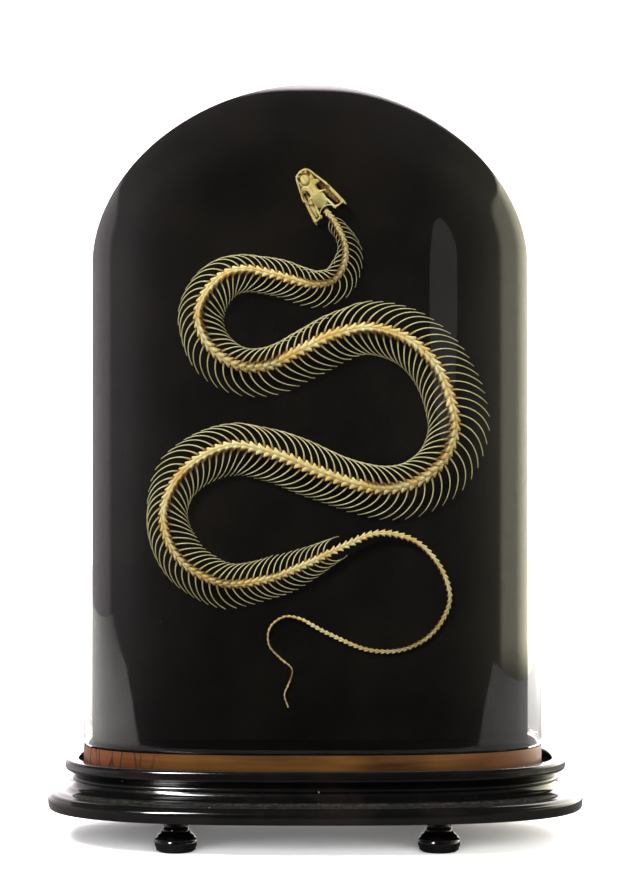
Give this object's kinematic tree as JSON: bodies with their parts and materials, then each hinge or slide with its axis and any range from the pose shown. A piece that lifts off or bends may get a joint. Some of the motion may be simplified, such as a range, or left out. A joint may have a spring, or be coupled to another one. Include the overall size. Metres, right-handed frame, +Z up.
{
  "type": "mounted snake skeleton in a glass dome",
  "caption": "Colubrid snake skeleton mounted in loops on a black arched panel, in an oval glass dome on an ebonised plinth with turned feet, for display.",
  "frame": {"origin": "on the floor under the middle of the plinth, with the feet standing on it", "axes": "+X towards the viewer's right, +Y away from the viewer, +Z up; the front of the panel, with the skeleton on it, faces -Y"},
  "size_m": [0.3414, 0.1968, 0.4898],
  "materials": {
    "lacquer": "glossy black lacquer over turned and moulded wood",
    "boardWood": "reddish brown, waxed, with shrinkage cracks",
    "glass": "clear blown glass",
    "blackCloth": "matt black cloth over a thin board",
    "skullBone": "cream bone, satin",
    "bone": "golden tan bone, satin"
  },
  "bodies": {
    "root": {"plinth": "lacquer", "board": "boardWood", "dome": "glass", "panel": "blackCloth", "foot_front_left": "lacquer", "foot_front_right": "lacquer", "foot_back_left": "lacquer", "foot_back_right": "lacquer", "cranium": "skullBone", "upper_jaw_left": "skullBone", "upper_jaw_right": "skullBone", "lower_jaw_left": "skullBone", "lower_jaw_right": "skullBone", "neck": "bone", "trunk_1_left": "bone", "trunk_1_right": "bone", "trunk_2_left": "bone", "trunk_2_right": "bone", "trunk_3_left": "bone", "trunk_3_right": "bone", "trunk_4_left": "bone", "trunk_4_right": "bone", "trunk_5_left": "bone", "trunk_5_right": "bone", "trunk_6_left": "bone", "trunk_6_right": "bone", "tail_1": "bone", "tail_2": "bone", "tail_3": "bone"}
  },
  "joints": []
}
